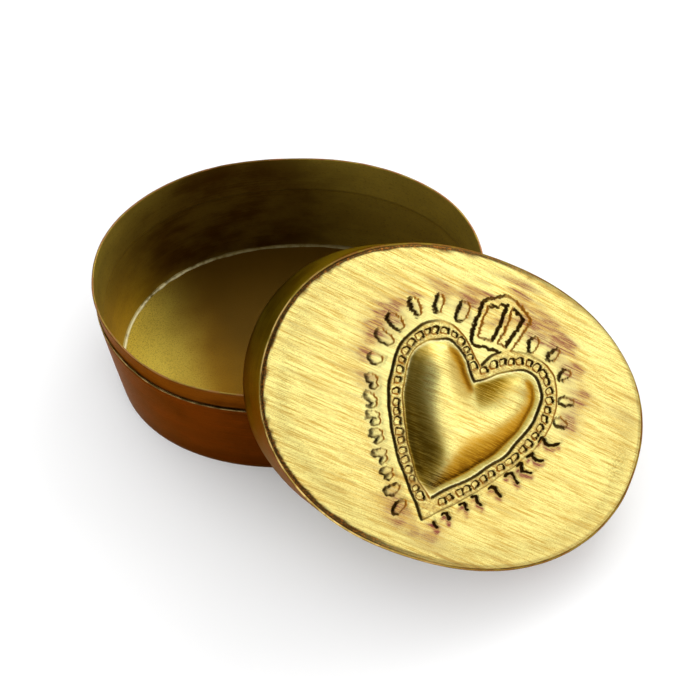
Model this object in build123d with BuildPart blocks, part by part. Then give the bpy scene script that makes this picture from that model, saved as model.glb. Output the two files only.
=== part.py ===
from build123d import *
import os
from math import atan2, cos, degrees, hypot, pi, radians, sin

os.makedirs("parts", exist_ok=True)

# Oval keepsake tin of thin brass sheet: an open box and its embossed lid, which leans on the box's
# rim with its low end on the table. All sizes in millimetres. +Z is up, +X runs along the box's
# long way, and the origin is the middle of the box's base.

# the oval and the sheet that the strips are cut from
half_length = 50.0
half_width = 36.2
oval_power = 2.15
sheet = 0.5

# the box: an outer band, a floor, and a neck ring that stands up out of the band
band_height = 34.4
neck_foot = 28.5
neck_top = 42.0
floor_sheet = 0.6
floor_bead = 1.1
neck_bead = 0.3
bead_bevel = 0.75

# the lid: a band that slides over the neck with some play, and a pressed plate set into its top
lid_play = 0.3
lid_depth = 16.3
plate_rise = 0.8
plate_rim = 1.2
plate_round = 1.6
lid_bead = 0.7

# where the lid lies: its middle, its turn, and the gaps left to the neck's edge and to the table
lid_middle_x = 0.807 * half_length
lid_middle_y = -1.112 * half_width
lid_turn = -23.2
lean_gap = 0.45
table_gap = 0.04

# foot of the raised border round the heart, right half, from the notch to the tip
heart_half = [(0, 7.6), (4.6, 11.4), (8.6, 13.8), (12.4, 14.2), (16.0, 12.2), (18.0, 7.6),
              (17.3, 1.4), (14.9, -4.4), (11.6, -9.6), (7.6, -14.8), (0, -22.0)]

# the puffed heart: a flat lip inside the border, then a dome that narrows to its crest
heart_lip = 1.1
puff_height = 4.2
puff_crest = 0.5
puff_middle = 1.0
puff_steps = 5

# the raised border and its punched dots
border_width = 3.7
border_rise = 0.45
dots = 46
dot_side = 1.35
dot_depth = 0.3

# the rays round the border, on each side from the crown down to the tip
rays = 14
ray_out = 6.8
ray_length = 4.2
ray_width = 2.0
ray_rise = 0.4
ray_slope = 25
ray_first = 0.2
ray_last = 0.95

# the crown over the notch: bars that frame two panels under a pitched roof
crown_shift = 1.0
crown_foot = 17.0
crown_eaves = 25.4
crown_peak = 27.6
crown_half = 5.6
crown_bar = 1.8
crown_rise = 0.5

# how far the lid band's two faces are drawn in from the box's outer oval
lid_outer = -lid_play
lid_inner = sheet - lid_play

# how many points a drawn oval has, and one that is only measured
drawn_count = 32
measured_count = 180


def oval_points(inset, count):
    """Points on the oval outline drawn in by inset."""
    points = []
    for i in range(count):
        c = cos(2 * pi * i / count)
        s = sin(2 * pi * i / count)
        x = (half_length - inset) * abs(c) ** (2 / oval_power)
        y = (half_width - inset) * abs(s) ** (2 / oval_power)
        points.append((x if c > 0 else -x, y if s > 0 else -y))
    return points


def oval(inset):
    """Oval face drawn in by inset."""
    with BuildSketch() as face:
        with BuildLine():
            Spline(*oval_points(inset, drawn_count), periodic=True)
        make_face()
    return face.sketch


def oval_value(x, y, inset):
    """Below zero inside the oval drawn in by inset, above zero outside it."""
    along = (abs(x) / (half_length - inset)) ** oval_power
    across = (abs(y) / (half_width - inset)) ** oval_power
    return along + across - 1


def laid(x, y, z, lean):
    """A point of the flat lid carried to where the lid lies, for two tilts and a height."""
    tilt_x, tilt_y, height = lean
    turn = radians(lid_turn)
    x, y = cos(turn) * x - sin(turn) * y, sin(turn) * x + cos(turn) * y
    x, z = cos(tilt_y) * x + sin(tilt_y) * z, cos(tilt_y) * z - sin(tilt_y) * x
    y, z = cos(tilt_x) * y - sin(tilt_x) * z, sin(tilt_x) * y + cos(tilt_x) * z
    return x + lid_middle_x, y + lid_middle_y, z + height


def misses(lean):
    """How far a lean is from resting: on the neck where the lid's edge comes in, where it goes
    out, and on the table."""
    coming = []
    going = []
    low = []
    for lid_inset in (lid_outer, lid_inner):
        edge = [laid(x, y, -lid_depth, lean) for x, y in oval_points(lid_inset, measured_count)]
        low.append(min(z for x, y, z in edge))
        for neck_inset in (sheet, 2 * sheet):
            values = [oval_value(x, y, neck_inset) for x, y, z in edge]
            for i, value in enumerate(values):
                if value * values[i - 1] < 0:
                    share = value / (value - values[i - 1])
                    height = edge[i][2] + share * (edge[i - 1][2] - edge[i][2])
                    side = coming if value < 0 else going
                    side.append(height - neck_top - lean_gap)
    return Vector(min(coming), min(going), min(low) - table_gap)


def resting_lean(steps=8, nudge=0.0001):
    """The lean at which the lid touches down in all three places, found by straight-line steps
    from a first guess."""
    lean = [radians(33), radians(17), neck_top]
    for _ in range(steps):
        miss = misses(lean)
        slopes = []
        for k in range(3):
            tried = list(lean)
            tried[k] += nudge
            slopes.append((misses(tried) - miss) / nudge)
        a, b, c = slopes
        volume = a.dot(b.cross(c))
        lean[0] -= miss.dot(b.cross(c)) / volume
        lean[1] -= a.dot(miss.cross(c)) / volume
        lean[2] -= a.dot(b.cross(miss)) / volume
    return lean


def half_heart(grow, size=1.0):
    """Right half of the border's foot moved outward by grow, then sized about the heart's middle."""
    last = len(heart_half) - 1
    points = []
    for i, (x, y) in enumerate(heart_half):
        before = heart_half[max(i - 1, 0)]
        after = heart_half[min(i + 1, last)]
        along = (after[0] - before[0], after[1] - before[1])
        reach = hypot(*along)
        if i in (0, last):
            x = 0.0
            y += grow * reach / along[0] if along[0] else 0.0
        else:
            x -= grow * along[1] / reach
            y += grow * along[0] / reach
        points.append((size * x, puff_middle + size * (y - puff_middle)))
    return points


def heart(grow, size=1.0):
    """Heart face, moved outward by grow and sized about its middle."""
    right = half_heart(grow, size)
    with BuildSketch() as face:
        with BuildLine():
            Spline(*right)
            Spline(*[(-x, y) for x, y in right])
        make_face()
    return face.sketch


def puff(grow, foot):
    """Heart-shaped dome that stands at height foot, its outline moved outward by grow."""
    with BuildPart() as dome:
        for k in range(puff_steps + 1):
            turn = pi / 2 * k / puff_steps
            size = 1 - (1 - puff_crest) * (1 - cos(turn))
            with BuildSketch(Plane.XY.offset(foot + puff_height * sin(turn))):
                add(heart(grow, size))
        loft()
    return dome.part


# outer band of the box
with BuildPart() as body_band:
    with BuildSketch():
        add(oval(0))
        add(oval(sheet), mode=Mode.SUBTRACT)
    extrude(amount=band_height)
body_band.part.label = "body_band"
export_step(body_band.part, "parts/body_band.step")

# neck ring, soldered inside the top of the band
with BuildPart() as neck_collar:
    with BuildSketch(Plane.XY.offset(neck_foot)):
        add(oval(sheet))
        add(oval(2 * sheet), mode=Mode.SUBTRACT)
    extrude(amount=neck_top - neck_foot)
neck_collar.part.label = "neck_collar"
export_step(neck_collar.part, "parts/neck_collar.step")

# floor, set into the foot of the band
with BuildPart() as floor_plate:
    with BuildSketch():
        add(oval(sheet))
    extrude(amount=floor_sheet)
floor_plate.part.label = "floor_plate"
export_step(floor_plate.part, "parts/floor_plate.step")

# bead of solder in the corner between floor and band
with BuildPart() as floor_solder:
    with BuildSketch(Plane.XY.offset(floor_sheet)):
        add(oval(sheet))
        add(oval(sheet + floor_bead), mode=Mode.SUBTRACT)
    extrude(amount=floor_bead)
    inner_top = floor_solder.edges().group_by(Axis.Z)[-1].sort_by(SortBy.LENGTH)[0]
    chamfer(inner_top, length=bead_bevel * floor_bead)
floor_solder.part.label = "floor_solder"
export_step(floor_solder.part, "parts/floor_solder.step")

# bead of solder on the band's cut edge, against the neck
with BuildPart() as neck_solder:
    with BuildSketch(Plane.XY.offset(band_height)):
        add(oval(sheet - neck_bead))
        add(oval(sheet), mode=Mode.SUBTRACT)
    extrude(amount=neck_bead)
    outer_top = neck_solder.edges().group_by(Axis.Z)[-1].sort_by(SortBy.LENGTH)[-1]
    chamfer(outer_top, length=bead_bevel * neck_bead)
neck_solder.part.label = "neck_solder"
export_step(neck_solder.part, "parts/neck_solder.step")

# where the lid lies, worked out so that it always comes to rest on the box that is drawn
lean = resting_lean()
lid_spot = Location((lid_middle_x, lid_middle_y, lean[2]), (degrees(lean[0]), degrees(lean[1]), lid_turn))

# lid band, drawn with the lid flat and its cut top edge at height zero
with BuildPart() as lid_band:
    with BuildSketch(Plane.XY.offset(-lid_depth)):
        add(oval(lid_outer))
        add(oval(lid_inner), mode=Mode.SUBTRACT)
    extrude(amount=lid_depth)
lid_band_laid = lid_band.part.moved(lid_spot)
lid_band_laid.label = "lid_band"
export_step(lid_band_laid, "parts/lid_band.step")

# outline of the crown and of the panel between two of its bars
half_bar = crown_bar / 2
roof_slope = (crown_peak - crown_eaves) / crown_half
crown_edge = crown_half + half_bar
crown_outline = [(-crown_edge, crown_foot - half_bar), (crown_edge, crown_foot - half_bar),
                 (crown_edge, crown_eaves + half_bar), (0, crown_peak + half_bar),
                 (-crown_edge, crown_eaves + half_bar)]
panel_edge = crown_half - half_bar
crown_panel = [(half_bar, crown_foot + half_bar), (panel_edge, crown_foot + half_bar),
               (panel_edge, crown_peak - roof_slope * panel_edge - half_bar),
               (half_bar, crown_peak - roof_slope * half_bar - half_bar)]

# lid plate: a shallow pan with a rounded shoulder, pressed from behind into heart, border and rays
plate_under = plate_rise - sheet
puff_face = puff(-heart_lip, plate_rise)
puff_back = puff(-heart_lip - sheet, plate_under)
with BuildPart() as lid_plate:
    with BuildSketch(Plane.XY.offset(-plate_rim)):
        add(oval(lid_inner))
    extrude(amount=plate_rim + plate_rise)
    fillet(lid_plate.edges().group_by(Axis.Z)[-1], radius=plate_round)
    with BuildSketch(Plane.XY.offset(-plate_rim)):
        add(oval(lid_inner + sheet))
    extrude(amount=plate_rim + plate_under, mode=Mode.SUBTRACT)
    fillet(lid_plate.edges(Select.LAST).group_by(Axis.Z)[-1], radius=plate_round - sheet)
    # raised border, and its hollow on the back
    with BuildSketch(Plane.XY.offset(plate_rise)):
        add(heart(border_width))
        add(heart(0), mode=Mode.SUBTRACT)
    extrude(amount=border_rise)
    with BuildSketch(Plane.XY.offset(plate_under)):
        add(heart(border_width - sheet))
        add(heart(sheet), mode=Mode.SUBTRACT)
    extrude(amount=border_rise, mode=Mode.SUBTRACT)
    # dots punched along the middle of the border
    track = heart(border_width / 2).face().outer_wire()
    with BuildSketch(Plane.XY.offset(plate_rise + border_rise)):
        for i in range(dots):
            spot = (i + 0.5) / dots
            ahead = track.tangent_at(spot)
            with Locations(Location(track.position_at(spot), (0, 0, degrees(atan2(ahead.Y, ahead.X))))):
                Rectangle(dot_side, dot_side)
    extrude(amount=-dot_depth, mode=Mode.SUBTRACT)
    # rays, one row down each side
    with BuildLine(mode=Mode.PRIVATE) as ring:
        Spline(*half_heart(ray_out))
    with BuildSketch(Plane.XY.offset(plate_rise)):
        for i in range(rays):
            spot = ray_first + (ray_last - ray_first) * i / (rays - 1)
            point = ring.edge().position_at(spot)
            ahead = ring.edge().tangent_at(spot)
            outward = degrees(atan2(ahead.X, -ahead.Y))
            for side in (1, -1):
                with Locations(Location((side * point.X, point.Y, 0), (0, 0, side * outward))):
                    Ellipse(ray_length / 2, ray_width / 2)
    extrude(amount=ray_rise, taper=ray_slope)
    # crown
    with BuildSketch(Plane.XY.offset(plate_rise)):
        with Locations((crown_shift, 0)):
            Polygon(*crown_outline, align=None)
            for side in (1, -1):
                Polygon(*[(side * x, y) for x, y in crown_panel], align=None, mode=Mode.SUBTRACT)
    extrude(amount=crown_rise)
    # puffed heart, hollow behind by one sheet
    add(puff_face)
    add(puff_back, mode=Mode.SUBTRACT)
lid_plate_laid = lid_plate.part.moved(lid_spot)
lid_plate_laid.label = "lid_plate"
export_step(lid_plate_laid, "parts/lid_plate.step")

# bead of solder under the plate's rim, against the inside of the lid band
with BuildPart() as lid_solder:
    with BuildSketch(Plane.XY.offset(-plate_rim)):
        add(oval(lid_inner))
        add(oval(lid_inner + lid_bead), mode=Mode.SUBTRACT)
    extrude(amount=-lid_bead)
    inner_low = lid_solder.edges().group_by(Axis.Z)[0].sort_by(SortBy.LENGTH)[0]
    chamfer(inner_low, length=bead_bevel * lid_bead)
lid_solder_laid = lid_solder.part.moved(lid_spot)
lid_solder_laid.label = "lid_solder"
export_step(lid_solder_laid, "parts/lid_solder.step")
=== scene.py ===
# %% [markdown]
# # An oval keepsake tin of thin brass, with its embossed lid leaning on the rim
#
# The real tin is cut from brass sheet half a millimetre thick. A strip closes into the oval wall, a floor is
# soldered into its foot, and a neck ring stands up inside its top for the lid to slide over. The lid is a
# second strip with a plate soldered into it, and the plate is pressed from behind into a puffed heart with a
# dotted border, rays and a small crown. The CAD model has all of these as plain solids. This file gives each
# of them a hand-made surface in the same place, so that the sheet is a little wavy, the solder uneven and the
# brass aged.
#
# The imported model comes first. It is the fixed frame that every later step measures from.

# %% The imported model
from math import cos, pi, radians, sin, tau

import bpy
import numpy as np
from mathutils import Matrix, Vector


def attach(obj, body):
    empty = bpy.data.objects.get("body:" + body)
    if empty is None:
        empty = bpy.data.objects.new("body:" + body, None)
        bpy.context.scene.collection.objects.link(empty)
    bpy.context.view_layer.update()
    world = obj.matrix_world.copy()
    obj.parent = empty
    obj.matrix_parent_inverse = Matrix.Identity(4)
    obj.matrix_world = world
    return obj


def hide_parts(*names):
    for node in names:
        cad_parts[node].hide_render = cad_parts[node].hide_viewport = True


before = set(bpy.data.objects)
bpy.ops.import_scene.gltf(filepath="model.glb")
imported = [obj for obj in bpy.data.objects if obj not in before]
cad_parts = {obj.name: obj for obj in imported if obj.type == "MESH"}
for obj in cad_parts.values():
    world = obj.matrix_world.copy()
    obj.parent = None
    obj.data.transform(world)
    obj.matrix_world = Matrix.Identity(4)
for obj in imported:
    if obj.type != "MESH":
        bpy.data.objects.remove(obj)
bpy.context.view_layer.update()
MM = 0.001
print("pieces in the frame:", ", ".join(sorted(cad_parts)))

# %% [markdown]
# ## The camera
#
# The photograph looks down into the box at about 61 degrees from a quarter of a metre away, so near things
# are clearly larger than far ones. A point to look at, two angles and a distance say where the camera is. The
# lens follows from how wide the tin is in the picture.

# %% Camera
LOOK_AT = (15.06, -8.89, 15.0)
AZIMUTH = -2.448
ELEVATION = 61.51
DISTANCE = 274.98
LENS = 52.36
SENSOR = 36.0
NEAREST = 0.01


def direction(azimuth, elevation):
    """Unit vector towards a place on the sky: azimuth 0 is in front, 90 to the right, elevation is height."""
    a, e = radians(azimuth), radians(elevation)
    return Vector((sin(a) * cos(e), -cos(a) * cos(e), sin(e)))


camera = bpy.data.objects.new("camera", bpy.data.cameras.new("camera"))
bpy.context.scene.collection.objects.link(camera)
bpy.context.scene.camera = camera
backwards = direction(AZIMUTH, ELEVATION)
camera.location = (Vector(LOOK_AT) + DISTANCE * backwards) * MM
camera.rotation_euler = (-backwards).to_track_quat("-Z", "Y").to_euler()
camera.data.lens = LENS
camera.data.sensor_width = SENSOR
camera.data.clip_start = NEAREST
print("camera at", [round(v / MM, 1) for v in camera.location], "mm")

# %% [markdown]
# ## Sizes, read from the frame
#
# The box's own band says how long, wide and high the box is. The lid lies tilted, so its directions are read
# from the mesh of its band: the band's faces look outwards all round but hardly at all along the lid's own
# height, and most of them look across its width. The three directions in which a table of area times normal
# times normal stretches least, middling and most are therefore height, length and width.

# %% Sizes and the lid's place
SHEET = 0.5
OVAL_POWER = 2.15


def packed(node):
    """Corner points of a CAD node's mesh, in millimetres."""
    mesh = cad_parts[node].data
    corners = np.empty(3 * len(mesh.vertices))
    mesh.vertices.foreach_get("co", corners)
    return corners.reshape(-1, 3) / MM


def own_axes(node):
    """Length, width and height directions of an oval band. Each face adds its area times its normal times its
    normal, and the sum's three directions come out by how much area looks along them."""
    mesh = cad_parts[node].data
    areas = np.empty(len(mesh.polygons))
    normals = np.empty(3 * len(mesh.polygons))
    mesh.polygons.foreach_get("area", areas)
    mesh.polygons.foreach_get("normal", normals)
    normals = normals.reshape(-1, 3)
    height, length, _ = np.linalg.eigh((normals * areas[:, None]).T @ normals)[1].T
    height = height * np.sign(height[2])
    length = length * np.sign(length[0])
    return np.array([length, np.cross(height, length), height])


wall = packed("body_band")
HALF_LENGTH, HALF_WIDTH, BAND_TOP = wall.max(0)
NECK_LOW, NECK_TOP = packed("neck_collar")[:, 2].min(), packed("neck_collar")[:, 2].max()
FLOOR_TOP = packed("floor_plate")[:, 2].max()

LID_AXES = own_axes("lid_band")
lid_points = packed("lid_band") @ LID_AXES.T
lid_low, lid_high = lid_points.min(0), lid_points.max(0)
LID_PLAY = (lid_high[0] - lid_low[0]) / 2 - HALF_LENGTH
LID_DEPTH = lid_high[2] - lid_low[2]
LID_ORIGIN = np.array([*(lid_low[:2] + lid_high[:2]) / 2, lid_high[2]]) @ LID_AXES
PLATE_FOOT = (packed("lid_plate") @ LID_AXES.T)[:, 2].min() - lid_high[2]
print("box", round(2 * HALF_LENGTH, 1), "x", round(2 * HALF_WIDTH, 1), "x", round(NECK_TOP, 1), "mm;",
      "lid depth", round(LID_DEPTH, 1), "play", round(LID_PLAY, 2), "origin", LID_ORIGIN.round(2))

# %% [markdown]
# ## Small helpers for shapes
#
# The oval is a superellipse: like an ellipse, with slightly fuller shoulders. Wandering curves give the
# hand-made unevenness: sums of a few waves round the oval with seeded phases, so that the tin is the same
# each time the script runs. A smooth step and a bell turn any distance into a soft edge or a soft spot. A
# skin is a grid of points with square faces between them.

# %% Oval, skin and wandering curves
CREASE = 50


def oval(turn, inset):
    """Points of the oval at some turns, drawn in by inset: x is the half length times the cosine raised to
    two over the power, y the half width times the sine raised to the same, and both keep their signs."""
    c, s = np.cos(turn), np.sin(turn)
    x = (HALF_LENGTH - inset) * np.sign(c) * np.abs(c) ** (2 / OVAL_POWER)
    y = (HALF_WIDTH - inset) * np.sign(s) * np.abs(s) ** (2 / OVAL_POWER)
    return x, y


def outward(x, y):
    """Unit normals of the oval through points: each part grows as the coordinate over the half size, raised
    to the power less one, and divided by that half size."""
    nx = np.sign(x) * np.abs(x / HALF_LENGTH) ** (OVAL_POWER - 1) / HALF_LENGTH
    ny = np.sign(y) * np.abs(y / HALF_WIDTH) ** (OVAL_POWER - 1) / HALF_WIDTH
    size = np.hypot(nx, ny)
    return nx / size, ny / size


def wander(turn, size, first, last, seed):
    """A smooth uneven curve round the oval: waves from first to last to the turn, each weaker as it gets
    shorter, with seeded phases, scaled so that it never passes size."""
    rng = np.random.default_rng(seed)
    waves = np.arange(first, last + 1)
    phases = rng.uniform(0, tau, len(waves))
    curve = (np.cos(np.multiply.outer(turn, waves) + phases) / np.sqrt(waves)).sum(-1)
    return size * curve / np.abs(curve).max()


def smooth_step(value):
    """0 below zero, 1 above one, and in between three times the square less twice the cube."""
    t = np.clip(value, 0, 1)
    return t * t * (3 - 2 * t)


def bell(value, middle, width):
    """1 at the middle, falling on both sides: e to the minus square of the distance over the width."""
    return np.exp(-((value - middle) / width) ** 2)


def in_box(points):
    """The box's own axes are the frame's."""
    return points


def in_lid(points):
    """Points given along the lid's length, width and height, carried to where the lid lies."""
    return points @ LID_AXES + LID_ORIGIN


def piece(name, points, faces, marks, body, nodes):
    """A finished piece: a mesh from points in millimetres, with its named marks for the finish, riding on a
    body and standing for CAD nodes."""
    mesh = bpy.data.meshes.new(name)
    mesh.from_pydata((points * MM).tolist(), [], faces)
    for mark, values in marks.items():
        layer = mesh.attributes.new(mark, "FLOAT", "POINT")
        layer.data.foreach_set("value", np.ascontiguousarray(values, np.float32).ravel())
    mesh.shade_smooth()
    mesh.set_sharp_from_angle(angle=radians(CREASE))
    made = bpy.data.objects.new(name, mesh)
    bpy.context.scene.collection.objects.link(made)
    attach(made, body)
    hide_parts(*nodes)
    print(name, "has", len(faces), "faces")
    return made


def ring_faces(columns, rows):
    """Square faces of a skin that closes on itself both ways, for points stored column after column."""
    i, j = np.meshgrid(np.arange(columns), np.arange(rows), indexing="ij")
    i2, j2 = (i + 1) % columns, (j + 1) % rows
    return np.stack([i * rows + j, i2 * rows + j, i2 * rows + j2, i * rows + j2], -1).reshape(-1, 4).tolist()


# %% [markdown]
# ## The strips: wall, neck and lid band
#
# Each strip is a profile carried round the oval: up the outside, over the cut edge, down the inside and back
# under the foot. Snips leave a cut edge that wanders by a tenth or two, and hands leave the wall a little out
# of true. The box has one larger push, where its rim is bent in at the front left. Every piece of the box
# shares one push, so that the ring, the seams and the wall stay against each other.

# %% How the hands left the box and the lid
COLUMNS = 900
TURNS = np.arange(COLUMNS) * tau / COLUMNS
BEND_TURN = 3.62
BEND_SPREAD = 0.42
BEND_DEPTH = 0.95
BOX_WAVE = 0.16
LID_WAVE = 0.12


def box_push(turn, up):
    """How far the box's sheet stands out at a turn and height: a slow wave that never passes the drawn oval,
    and one push inwards at the front left. Both grow with the height to the power of one and a half."""
    wave = wander(turn, BOX_WAVE, 2, 9, 3) - BOX_WAVE
    away = np.angle(np.exp(1j * (turn - BEND_TURN)))
    return (wave - BEND_DEPTH * bell(away, 0, BEND_SPREAD)) * np.clip(up / NECK_TOP, 0, 1) ** 1.5


def lid_push(turn, up):
    """How far the lid's band stands out, alike at every height: a slow wave that never passes the oval."""
    return wander(turn, LID_WAVE, 2, 11, 8) - LID_WAVE


BOX = (box_push, in_box, "box")
LID = (lid_push, in_lid, "lid")

# %% Wall, neck and lid band
WALL_ROWS = 22
CORNER = 0.13
CUT_WAVES = (5, 60)


def carried(insets, up, push, place):
    """Points of a profile carried round the oval: each is drawn in by its inset, and then stands out as far
    as the hands left the sheet there."""
    turn = TURNS[:, None] + 0 * up
    x, y = oval(turn, insets)
    nx, ny = outward(x, y)
    stand = push(turn, up)
    return place(np.stack([x + nx * stand, y + ny * stand, up], -1).reshape(-1, 3))


def strip(name, inset, low, high, cut_size, seed, part, node):
    """A strip of sheet as a closed skin. Its profile goes up the outside, over a softened cut edge, down the
    inside and back: each point has an inset, a height, a mark for the inside and a mark for the raw edge."""
    push, place, body = part
    climb = np.linspace(0, 1, WALL_ROWS)
    bend = np.linspace(0, pi / 2, 4)[1:-1]
    ease, drop = CORNER * (1 - np.cos(bend)), CORNER * (1 - np.sin(bend))
    over = [CORNER, SHEET / 2, SHEET - CORNER]
    depth = np.concatenate([0 * climb, ease, over, SHEET - ease[::-1], SHEET + 0 * climb, over[::-1]])
    rising = low + CORNER + (high - low - 2 * CORNER) * climb
    height = np.concatenate([rising, high - drop, [high] * 3, high - drop[::-1], rising[::-1], [low] * 3])
    share = (height - low) / (high - low)
    rows = {"inside": np.concatenate([0 * climb, [0, 0, 0.2, 0.5, 0.8, 1, 1], 1 + 0 * climb, [1, 0.5, 0]]),
            "raw": np.concatenate([0 * climb, [0.6, 1, 1, 1, 1, 1, 0.6], 0 * climb, [1, 1, 1]]),
            "rise": share}
    cut = np.outer(wander(TURNS, cut_size, *CUT_WAVES, seed) - cut_size, smooth_step(4 * share - 3))
    points = carried(inset + depth, height + cut, push, place)
    marks = {mark: np.tile(row, COLUMNS) for mark, row in rows.items()}
    return piece(name, points, ring_faces(COLUMNS, len(height)), marks, body, [node])


box_wall = strip("box_wall", 0.0, 0.0, BAND_TOP, 0.10, 21, BOX, "body_band")
neck_ring = strip("neck_ring", SHEET, NECK_LOW, NECK_TOP, 0.07, 22, BOX, "neck_collar")
lid_skirt = strip("lid_skirt", -LID_PLAY, -LID_DEPTH, 0.0, 0.11, 23, LID, "lid_band")

# %% [markdown]
# ## The solder
#
# Solder runs into the corner between two sheets and sets as a small hollow fillet that swells and thins along
# the seam. It is a profile again: from the wall in a hollow quarter arc down to the sheet below, and back
# along both sheets. Its size is a wandering curve, so that the seam looks poured and not extruded.

# %% Solder beads
BEAD_WAVES = (5, 55)
ARC_POINTS = 8


def bead(name, inset, corner_height, way, thin, thick, seed, part, node):
    """Solder in the corner of a wall and a sheet, as a closed skin. Its size wanders between thin and thick
    round the oval; way is 1 for a corner that opens upwards and -1 for one that opens downwards."""
    push, place, body = part
    size = thin + (thick - thin) * (wander(TURNS, 0.5, *BEAD_WAVES, seed) + 0.5)
    arc = np.linspace(0, pi / 2, ARC_POINTS)
    across = np.concatenate([1 - np.cos(arc), [0.5, 0.0, 0.0]])
    upright = np.concatenate([1 - np.sin(arc), [0.0, 0.0, 0.5]])
    if way < 0:
        across, upright = across[::-1], -upright[::-1]
    points = carried(inset + np.outer(size, across), corner_height + np.outer(size, upright), push, place)
    marks = {"swell": np.repeat(size / thick, len(across))}
    return piece(name, points, ring_faces(COLUMNS, len(across)), marks, body, [node])


floor_seam = bead("floor_seam", SHEET, FLOOR_TOP, 1, 0.35, 1.1, 31, BOX, "floor_solder")

# %% [markdown]
# ## A sheet that fills the oval
#
# The floor and the lid's plate are sheets with an oval outline. A fan of triangles from the middle would
# crowd there and leave the rim coarse, so a square grid is bent into a disc instead, which keeps its cells
# even, and then stretched to the oval. The front has a fine grid. The back needs only every second line of
# it, and five sided faces round the rim join the two.

# %% Disc of sheet
LINE_STEPS = 4001


def spaced(count, stops, weights):
    """Places from -1 to 1, closer together where the weight is high: the weights are added up along the line,
    and equal steps of that sum give the places."""
    line = np.linspace(-1, 1, LINE_STEPS)
    total = np.cumsum(np.interp(np.abs(line), stops, weights))
    total = (total - total[0]) / (total[-1] - total[0])
    return np.interp(np.linspace(0, 1, count + 1), total, line)


def bent_square(us, vs):
    """A square grid bent into a disc: x is u times the root of one less half v squared, and y is v times the
    root of one less half u squared."""
    u, v = np.meshgrid(us, vs, indexing="ij")
    return u * np.sqrt(1 - v * v / 2), v * np.sqrt(1 - u * u / 2)


def oval_disc(us, vs, inset):
    """The disc stretched to the oval: each point is moved along its own ray from the middle until the circle
    through it becomes the oval. Gives x, y, the rim point on the same ray and the share of the way to it."""
    x, y = bent_square(us, vs)
    share = np.hypot(x, y)
    ray = np.arctan2(y, x)
    c, s = np.cos(ray), np.sin(ray)
    reach = (np.abs(c) ** OVAL_POWER + np.abs(s) ** OVAL_POWER) ** (-1 / OVAL_POWER)
    rim_x, rim_y = (HALF_LENGTH - inset) * c * reach, (HALF_WIDTH - inset) * s * reach
    return share * rim_x, share * rim_y, rim_x, rim_y, share


def grid_faces(lines, rows, start, flip):
    """Square faces of an open grid, for points stored line after line from a start number."""
    i, j = np.meshgrid(np.arange(lines - 1), np.arange(rows - 1), indexing="ij")
    a = start + i * rows + j
    faces = np.stack([a, a + rows, a + rows + 1, a + 1], -1).reshape(-1, 4)
    return (faces[:, ::-1] if flip else faces).tolist()


def border(lines, rows, start):
    """Numbers of the points round an open grid, anticlockwise."""
    grid = start + np.arange(lines * rows).reshape(lines, rows)
    return np.concatenate([grid[:-1, 0], grid[-1, :-1], grid[:0:-1, -1], grid[0, :0:-1]])


def sheet_faces(front_shape, back_shape):
    """Faces of a sheet with a fine front and a back of half as many lines, closed round the rim."""
    front_count = front_shape[0] * front_shape[1]
    faces = grid_faces(*front_shape, 0, False) + grid_faces(*back_shape, front_count, True)
    outer = border(*front_shape, 0)
    inner = border(*back_shape, front_count)
    rim = [np.roll(outer, -2)[::2], np.roll(outer, -1)[::2], outer[::2], inner, np.roll(inner, -1)]
    return faces + np.stack(rim, -1).tolist()


def sheet(name, front, back, marks, part, node):
    """A finished sheet from the points of its two sides, each a grid."""
    _, place, body = part
    points = place(np.concatenate([front.reshape(-1, 3), back.reshape(-1, 3)]))
    return piece(name, points, sheet_faces(front.shape[:2], back.shape[:2]), marks, body, [node])


# %% [markdown]
# ## The floor of the box
#
# The floor was beaten flat before it was soldered in, which leaves shallow dimples a few millimetres wide.
# They are worked out as a sum of slanted waves, shallow enough to show only in the shine.

# %% Floor
FLOOR_LINES = spaced(180, [0, 1], [1, 1])
DIMPLE = 0.05
DIMPLE_WAVES = 24


def dimples(x, y, size, shortest, seed):
    """A shallow uneven surface: waves in seeded directions, from shortest millimetres up to eight times that,
    added and scaled so that their spread is size."""
    rng = np.random.default_rng(seed)
    spans = ((1, 8), (0, pi), (0, tau))
    lengths, ways, phases = [rng.uniform(least, most, DIMPLE_WAVES) for least, most in spans]
    total = np.zeros_like(x)
    for length, way, phase in zip(lengths, ways, phases):
        total += np.sin((x * cos(way) + y * sin(way)) * tau / (length * shortest) + phase)
    return size * total / total.std()


floor_x, floor_y, *_ = oval_disc(FLOOR_LINES, FLOOR_LINES, SHEET)
floor_z = FLOOR_TOP - DIMPLE + dimples(floor_x, floor_y, DIMPLE / 3, 4.0, 41)
floor_front = np.stack([floor_x, floor_y, floor_z], -1)
floor_back = floor_front[::2, ::2] * (1, 1, 0)
box_floor = sheet("box_floor", floor_front, floor_back, {}, BOX, "floor_plate")

# %% [markdown]
# ## The relief on the lid
#
# The relief is a height for every place on the plate, like a map of hills. It is worked out once on an even
# square grid, because there a blur is easy, and the plate's mesh then reads its heights from the map. Random
# numbers blurred to a given size give grain, and a little grain added to the coordinates before a shape is
# drawn makes its outline as uneven as a hand-cut die.

# %% The map and its tools
REACH = 34.0
CELL = 0.16
ticks = np.arange(-REACH, REACH, CELL)
MAP_X, MAP_Y = np.meshgrid(ticks, ticks, indexing="ij")
print("map of", len(ticks), "by", len(ticks), "places")


def blurred(field, along, across=None):
    """The field smoothed by a bell curve as wide as along in x and across in y, or the same both ways: its
    waves are weakened by the bell of their own number, so short ones vanish."""
    fx = np.fft.fftfreq(field.shape[0], CELL)[:, None]
    fy = np.fft.rfftfreq(field.shape[1], CELL)[None, :]
    weaker = np.exp(-2 * pi * pi * ((along * fx) ** 2 + ((across or along) * fy) ** 2))
    return np.fft.irfft2(np.fft.rfft2(field) * weaker, field.shape)


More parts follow.
